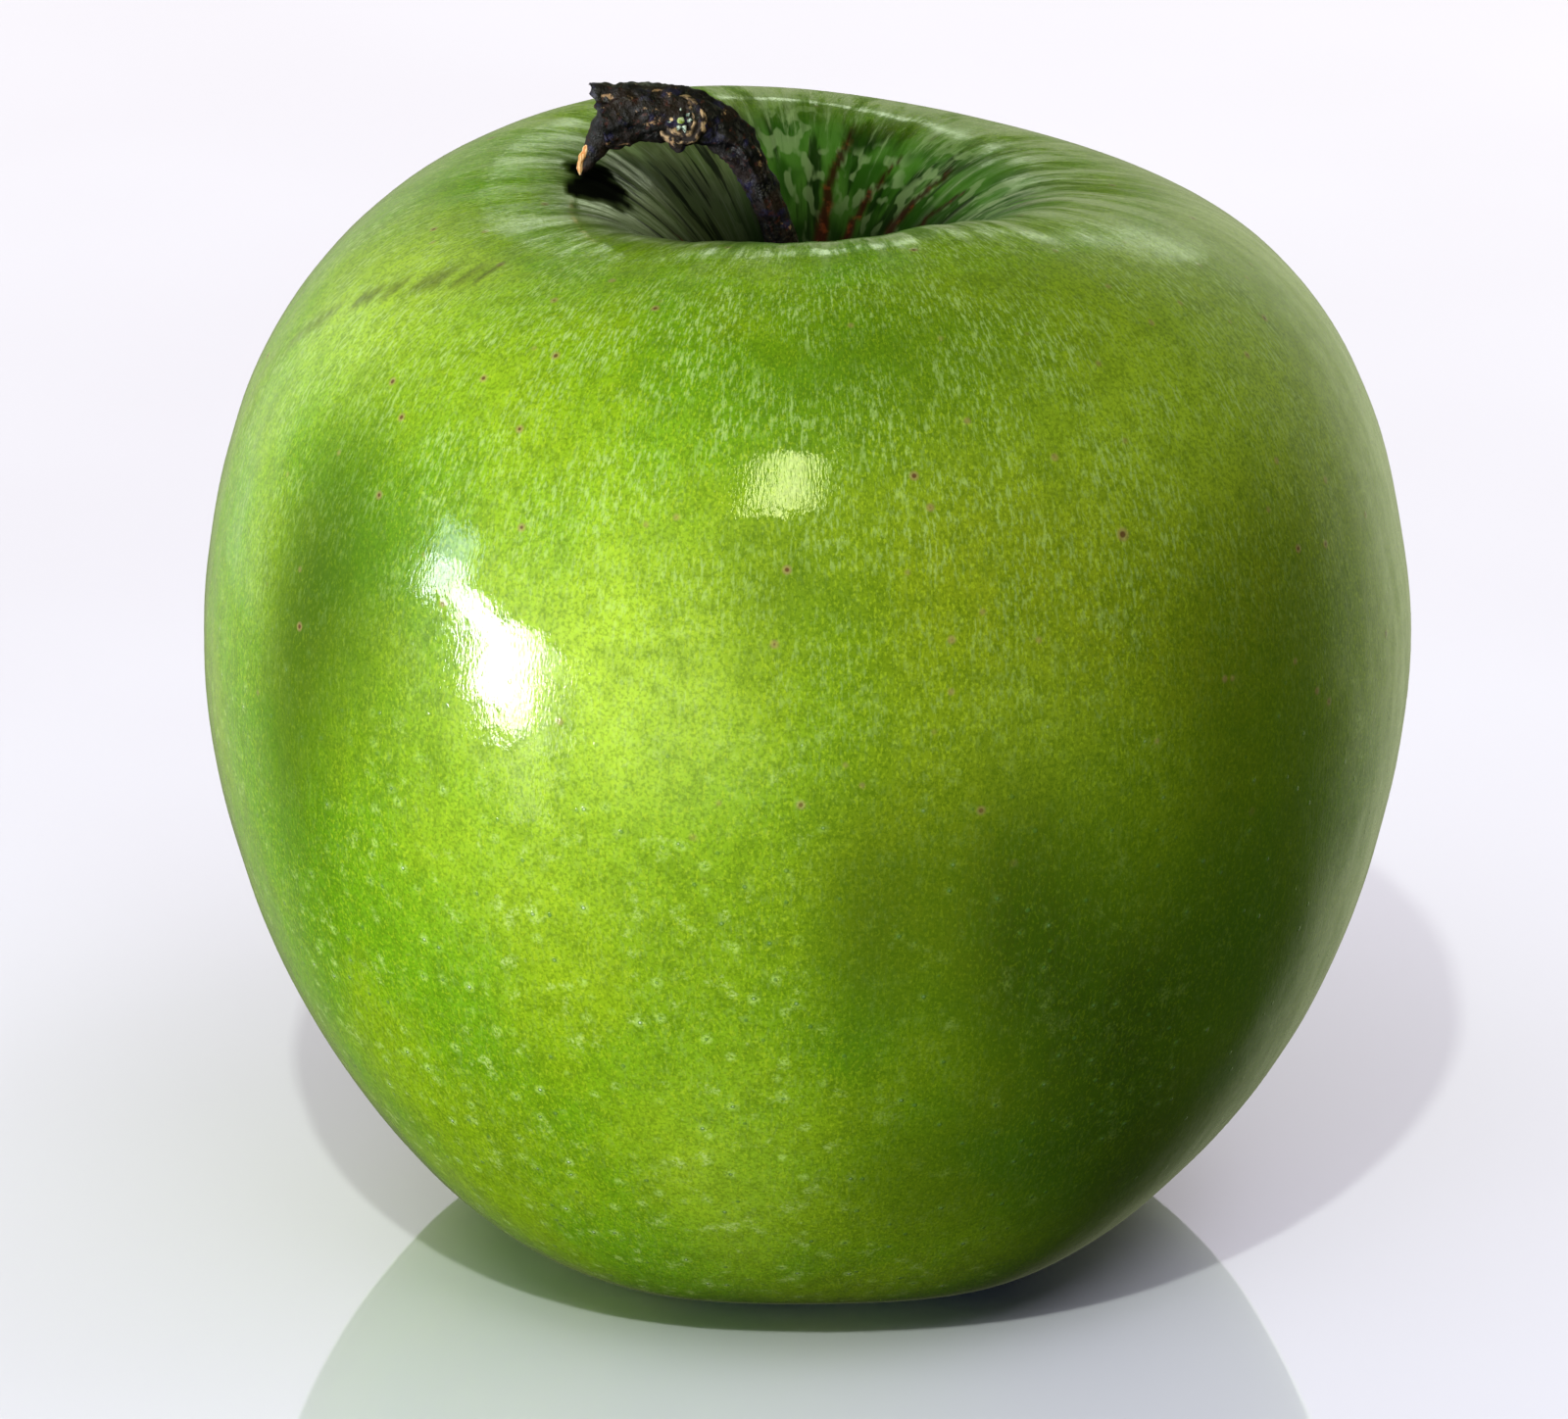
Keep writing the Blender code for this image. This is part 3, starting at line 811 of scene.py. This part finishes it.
def dead_bark():
    """Dead fruit-wood bark, dried on the tree: nearly black, furrowed, with flecks of old cork."""
    made, tree, shader = new_material("dried apple-wood bark", IOR=1.5, Specular_IOR_Level=0.6)
    place = add(tree, "TexCoord").outputs["Object"]
    faded = between(tree, patchy(tree, place, 1.6, 4.0), 0.42, 0.62)
    bark = tinted(tree, linear("#09060d"), "#1d100f", faded)
    blue = between(tree, patchy(tree, place, 1.1, 3.0), 0.55, 0.68)
    bark = tinted(tree, bark, "#1f1c44", blue, 0.7)
    red = between(tree, patchy(tree, place, 0.4, 3.0), 0.6, 0.7)
    bark = tinted(tree, bark, "#4a1d14", red, 0.6)
    worn = between(tree, patchy(tree, place, 0.7, 4.0, 0.6), 0.6, 0.67)
    worn_places = between(tree, patchy(tree, place, 3.2, 1.0), 0.5, 0.6)
    bark = tinted(tree, bark, "#a98562", worn, worn_places, 0.85)
    far, chance = scattered(tree, place, 1.1)
    cork = between(tree, far, 0.176 * MM, 0.11 * MM)
    bark = tinted(tree, bark, "#d8b98c", cork, between(tree, chance, 0.8, 0.85))
    tree.links.new(bark, shader.inputs["Base Color"])
    rough = between(tree, patchy(tree, place, 0.8, 3.0), 0.3, 0.7, 0.42, 0.8)
    tree.links.new(rough, shader.inputs["Roughness"])
    normal = bumped(tree, patchy(tree, place, 0.9, 4.0, 0.65), 0.35)
    normal = bumped(tree, patchy(tree, place, 0.22, 3.0, 0.6), 0.06, normal)
    tree.links.new(normal, shader.inputs["Normal"])
    return made


def torn_wood():
    """Fresh torn wood: pale cream-orange fibres along the sliver."""
    made, tree, shader = new_material("torn apple wood", Roughness=0.6)
    place = add(tree, "TexCoord").outputs["Object"]
    fibres = patchy(tree, place, (0.15, 0.15, 1.5), 3.0)
    wood = tinted(tree, linear("#c9803f"), "#f2cf9a", between(tree, fibres, 0.4, 0.6))
    tree.links.new(wood, shader.inputs["Base Color"])
    tree.links.new(bumped(tree, fibres, 0.05), shader.inputs["Normal"])
    return made


def scar_cork():
    """Cork grown over a wound: tan on its ridges and dark in its furrows, by how the surface
    curves.
    """
    made, tree, shader = new_material("bud scar cork", Roughness=0.75)
    place = add(tree, "TexCoord").outputs["Object"]
    rounded = add(tree, "NewGeometry").outputs["Pointiness"]
    ridges = between(tree, rounded, 0.48, 0.56)
    uneven = between(tree, patchy(tree, place, 0.45, 3.0), 0.4, 0.62)
    cork = tinted(tree, linear("#1a0f10"), "#b59774", ridges, uneven)
    tree.links.new(cork, shader.inputs["Base Color"])
    tree.links.new(bumped(tree, patchy(tree, place, 0.2, 3.0), 0.06), shader.inputs["Normal"])
    return made


def bud_scale_skin(middle):
    """Dried bud scales: silver-green and papery, yellow-green in the heart of the bud."""
    made, tree, shader = new_material("dried bud scales", Roughness=0.5)
    place = add(tree, "TexCoord").outputs["Object"]
    away = add(tree, "VectorMath", {0: place, 1: middle}, operation="DISTANCE").outputs["Value"]
    papery = between(tree, patchy(tree, place, 0.35, 3.0), 0.42, 0.58)
    silver = tinted(tree, linear("#41594a"), "#d5e3dc", papery)
    skin = painted(tree, linear("#a3b52c"), silver, between(tree, away, 0.25 * MM, 0.5 * MM))
    tree.links.new(skin, shader.inputs["Base Color"])
    tree.links.new(bumped(tree, patchy(tree, place, 0.15, 2.0), 0.04), shader.inputs["Normal"])
    return made


# ---------------------------------------------------------------- dried flower underneath


def make_calyx():
    """Five dried sepals that curl back round a tuft of withered styles and stamens."""
    dried = dried_leaf()
    root = BASIN_DEPTH + 0.1 * MM
    make_sepals(dried, root)
    make_tuft(dried, root)


def make_sepals(dried, root):
    """The sepals, each a tapered leaf that curls outwards and crinkles towards its tip."""
    for number, twist in enumerate((0.3, -0.2, 0.15, -0.35, 0.1)):
        leaf = bmesh.new()
        bmesh.ops.create_grid(leaf, x_segments=8, y_segments=20, size=0.5)
        for vertex in leaf.verts:
            across, share = vertex.co.x, vertex.co.y + 0.5
            wide = 3.0 * (1 - share**1.7) + 0.25
            curl = math.radians(85) * share
            crinkle = 0.3 * noise.noise(Vector((across * 3, share * 4, number * 5.0)))
            cup = 0.5 * across * across + twist * share * across
            vertex.co = Vector(
                (
                    5.2 * (1 - math.cos(curl)) * 0.6 - cup + crinkle * share,
                    across * wide,
                    -5.0 * math.sin(curl) * 0.75 + crinkle,
                )
            ) * MM
        bmesh.ops.recalc_face_normals(leaf, faces=leaf.faces)
        bmesh.ops.solidify(leaf, geom=leaf.faces[:], thickness=0.22 * MM)
        turned = Matrix.Rotation(math.radians(360 / SEPALS * number), 4, "Z")
        placed = turned @ Matrix.Translation((3.0 * MM, 0, root))
        bmesh.ops.transform(leaf, matrix=placed, verts=leaf.verts)
        node = f"calyx_sepal_{number + 1}"
        new_piece(f"dried_sepal_{number + 1}", leaf, dried, "dried_calyx", node)


def make_tuft(dried, root):
    """The styles in the middle of the calyx and the stamens round them, dried to threads."""
    tuft = bmesh.new()
    for number in range(STYLES + STAMENS):
        style = number < STYLES
        lean = toward(137.5 * number, 0)
        spread = (0.35 if style else 0.9 + 0.35 * (number % 3)) * MM
        reach = (4.0 if style else 3.2 + 0.5 * (number % 4)) * MM
        wander = Vector((noise.noise(lean * 3), noise.noise(lean * 3 + Vector((5, 0, 0))), 0))
        wander *= 1.2 * MM
        stations = [
            lean * spread + Vector((0, 0, root + 0.6 * MM)),
            lean * spread * 1.2 + Vector((0, 0, root - 0.45 * reach)) + wander * 0.4,
            lean * spread * 1.5 + Vector((0, 0, root - 0.8 * reach)) + wander,
            lean * spread * 1.9 + Vector((0, 0, root - reach)) + wander * 1.2,
        ]
        radii = (0.2, 0.13, 0.1, 0.22)
        route = [Vector((*station, radius * MM)) for station, radius in zip(stations, radii)]
        thread = drawn_tube(through(route, 5), THREAD_SIDES)[0]
        strand = new_mesh("strand", thread, dried)
        tuft.from_mesh(strand)
        bpy.data.meshes.remove(strand)
    bmesh.ops.recalc_face_normals(tuft, faces=tuft.faces)
    new_piece("withered_tuft", tuft, dried, "dried_calyx", "withered_styles")


def dried_leaf():
    """Dried sepals and styles: brown papery leaf with a grey down and darker veins."""
    made, tree, shader = new_material("dried calyx", Roughness=0.8, Sheen_Weight=0.3)
    place = add(tree, "TexCoord").outputs["Object"]
    faded = between(tree, patchy(tree, place, 1.1, 4.0), 0.38, 0.62)
    leaf = tinted(tree, linear("#3a2817"), "#7a6440", faded)
    down = between(tree, patchy(tree, place, (0.25, 0.25, 0.9), 3.0), 0.52, 0.66)
    leaf = tinted(tree, leaf, "#b3ab8c", down, 0.6)
    tree.links.new(leaf, shader.inputs["Base Color"])
    tree.links.new(bumped(tree, patchy(tree, place, 0.3, 3.0), 0.12), shader.inputs["Normal"])
    return made


# ---------------------------------------------------------------- surroundings


def face(thing, aim):
    """Turns a camera or a light towards a point."""
    thing.rotation_euler = (aim - thing.location).to_track_quat("-Z", "Y").to_euler()


def make_camera():
    """A little under 20 degrees above the table and half a metre away."""
    aim = Vector(CAMERA_AIM)
    data = bpy.data.cameras.new("camera")
    data.sensor_width = 36
    data.lens = CAMERA_LENS
    camera = new_object("camera", data)
    camera.location = aim + CAMERA_DISTANCE * toward(0, CAMERA_ELEVATION)
    face(camera, aim)
    bpy.context.scene.camera = camera


def make_light(
    name, azimuth, elevation, wide, high, brightness, only, colour="#ffffff", matt=False
):
    """A soft panel that faces the fruit, wide and high in degrees as the fruit sees it.

    Its brightness is the panel's own, next to 1 for a white wall in full light. only is the
    collection that says what it lights, and a matt panel gives light without a highlight.
    """
    data = bpy.data.lights.new(name, "AREA")
    data.shape = "RECTANGLE"
    data.size = 2 * LIGHT_DISTANCE * math.tan(math.radians(wide / 2))
    data.size_y = 2 * LIGHT_DISTANCE * math.tan(math.radians(high / 2))
    data.energy = brightness * math.pi * data.size * data.size_y
    data.color = linear(colour)[:3]
    aim = Vector(LIGHT_AIM)
    light = new_object(name, data)
    light.location = aim + LIGHT_DISTANCE * toward(azimuth, elevation)
    face(light, aim)
    light.visible_camera = False
    light.visible_glossy = not matt
    light.light_linking.receiver_collection = only


def make_floor():
    """A pale glossy table that runs on past the picture.

    Gives two collections for its lights: one that lights only the table, one all but the table.
    """
    shape = bmesh.new()
    bmesh.ops.create_circle(shape, cap_ends=True, segments=64, radius=TABLE_RADIUS)
    lacquer, tree, shader = new_material(
        "white lacquered table", IOR=1.5, Roughness=0.05, Coat_Weight=0.7, Coat_Roughness=0.04
    )
    place = add(tree, "TexCoord").outputs["Object"]
    paler = between(tree, patchy(tree, place, 90, 2.0), 0.35, 0.65)
    white = tinted(tree, linear("#e4e1e4"), "#e9e7ea", paler)
    tree.links.new(white, shader.inputs["Base Color"])
    table = new_object("table", new_mesh("table", shape, lacquer))
    # The table throws no light back at the fruit: dim light from below the horizon does that,
    # which leaves the fruit's shaded side as dark as it should be.
    table.visible_diffuse = False
    table.visible_glossy = False
    table.visible_shadow = False
    # A dark disc just under the table keeps that light off the fruit's foot.
    disc = bmesh.new()
    bmesh.ops.create_circle(disc, cap_ends=True, segments=48, radius=42 * MM)
    bmesh.ops.translate(disc, vec=(0, 0, -0.6 * MM), verts=disc.verts)
    black = new_material("black card", Base_Color=linear("#050505"), Roughness=0.9)[0]
    shade = new_object("foot_shade", new_mesh("foot_shade", disc, black))
    shade.visible_camera = False
    shade.visible_glossy = False
    on_table = bpy.data.collections.new("on_table")
    off_table = bpy.data.collections.new("off_table")
    for lit in (on_table, off_table):
        lit.objects.link(table)
    off_table.collection_objects[0].light_linking.link_state = "EXCLUDE"
    return on_table, off_table


def make_world():
    """Dim studio air with soft glows.

    Those behind the fruit light its edges, the one in front on the left fills the window's glow,
    and the one overhead is faint and broad.
    """
    world = bpy.data.worlds.new("studio")
    world.use_nodes = True
    bpy.context.scene.world = world
    tree = world.node_tree
    way = add(tree, "TexCoord").outputs["Generated"]
    # Azimuth and elevation, the cosines where the glow starts and is full, and its strength.
    glows = (
        (-146, 5, 0.72, 1.0, 0.45),
        (146, 2, 0.72, 1.0, 0.6),
        (180, 28, 0.72, 1.0, 0.13),
        (-150, -14, 0.8, 1.0, 0.2),
        (150, -14, 0.8, 1.0, 0.2),
        (-24, -4, 0.92, 1.0, 0.8),
        (0, 90, 0.1, 1.0, 0.06),
    )
    total = 0.02
    for azimuth, elevation, low, high, strength in glows:
        centre = toward(azimuth, elevation)
        facing = add(tree, "VectorMath", {0: way, 1: centre}, operation="DOT_PRODUCT")
        glow = between(tree, facing.outputs["Value"], low, high, 0.0, strength)
        total = sums(tree, "ADD", total, glow)
    ground = tree.nodes["Background"]
    ground.inputs["Color"].default_value = linear("#eefac6")
    tree.links.new(total, ground.inputs["Strength"])


def make_lights(on_table, off_table):
    """The fruit's own lights, then the table's."""
    # A window on the left: one bright pane, a dimmer corner that leans out to the left, and haze.
    make_light("window", -57.5, 2.4, 12, 10.5, 32, off_table)
    make_light("window_taper", -55.5, -4.5, 7, 4, 24, off_table)
    make_light("window_corner_in", -65, 6.5, 9, 6, 22, off_table, "#eef6ff")
    make_light("window_corner_out", -74, 9.5, 10, 7, 19, off_table, "#eef6ff")
    make_light("window_haze", -73, 16, 12, 9, 6.2, off_table, "#c8e2ff")
    make_light("window_foot", -52, -15, 5, 16, 2.2, off_table)
    make_light("window_edge", -48.5, -1, 3, 16, 5, off_table)
    # A small lamp above the front, and dim strips behind that show on the far shoulder and side.
    make_light("lamp", -7, 46, 10, 15, 14, off_table, "#f7ffb4")
    make_light("back_strip", 172, 23, 34, 6, 2.3, off_table, "#ecffdc")
    make_light("side_glow", -134, 6, 22, 36, 0.36, off_table, "#dcffea")
    for name, azimuth, elevation, wide, high, brightness in (
        ("left_fill", -54, 13, 60, 50, 1.45),
        ("front_fill", -30, 14, 50, 30, 1.0),
        ("low_fill", -26, -14, 50, 24, 0.95),
        ("right_fill", 30, 38, 40, 30, 2.1),
    ):
        make_light(name, azimuth, elevation, wide, high, brightness, off_table, matt=True)
    # One small lamp overhead, which gives the table's shadow its edge, and soft light all round.
    make_light("table_lamp", -9.3, 51, 1.6, 1.6, 1550, on_table, "#f4fff6")
    make_light("table_back", 180, 12, 90, 34, 1.2, on_table, "#f7ecff")
    make_light("table_front", 0, 12, 90, 20, 0.45, on_table, "#3a34ff", matt=True)
    for azimuth, brightness in (
        (0, 2.2), (45, 2.2), (-45, 1.35), (90, 1.45), (-90, 0.4), (135, 0.3), (-135, 0.1),
    ):
        name = f"soft_light_{azimuth % 360}"
        make_light(name, azimuth, 61, 46, 24, brightness, on_table, "#e8e8ff", matt=True)


def main():
    bpy.context.scene.view_settings.view_transform = "Standard"
    make_camera()
    make_world()
    make_lights(*make_floor())
    make_fruit()
    make_stalk()
    make_calyx()


main()
